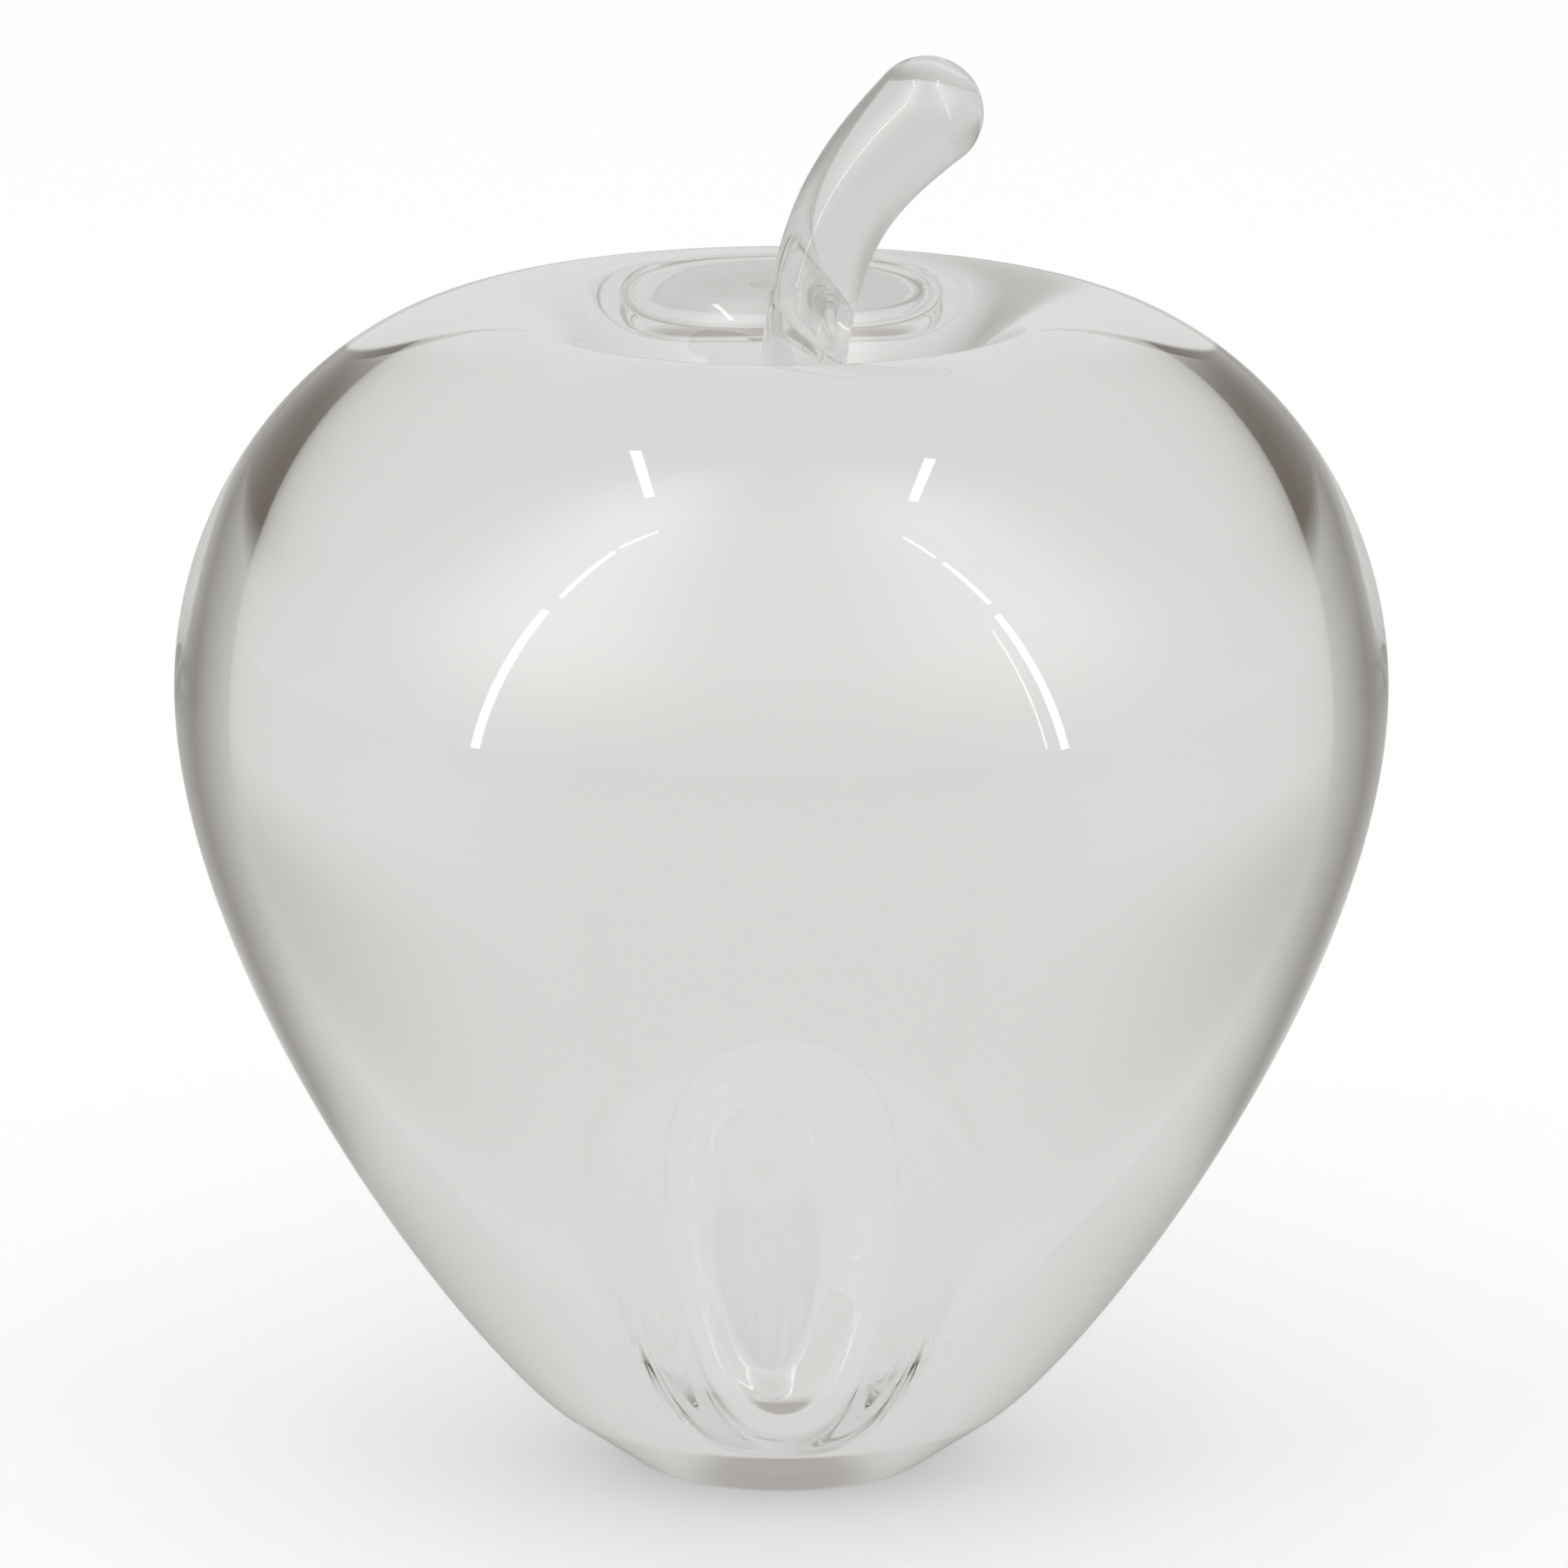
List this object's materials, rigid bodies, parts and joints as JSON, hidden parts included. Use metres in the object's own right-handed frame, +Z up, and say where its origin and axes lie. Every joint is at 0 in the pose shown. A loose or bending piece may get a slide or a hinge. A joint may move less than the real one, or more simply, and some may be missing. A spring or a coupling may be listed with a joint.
{
  "type": "glass apple paperweight",
  "caption": "Solid clear glass apple with a deep dimple, a narrow ground foot and a bent, club-ended glass stem fused into the dimple.",
  "frame": {"origin": "centre of the flat foot, on the face that rests on the table", "axes": "+Z up along the body's upright axis, +X towards the side the stem leans to and along the body's wider way, -Y towards the front"},
  "size_m": [0.088, 0.081, 0.1046],
  "materials": {
    "clear_glass": "fire-polished, clear, with a faint green-grey tint in depth"
  },
  "bodies": {
    "root": {"apple_body": "clear_glass", "stem": "clear_glass"}
  },
  "joints": []
}
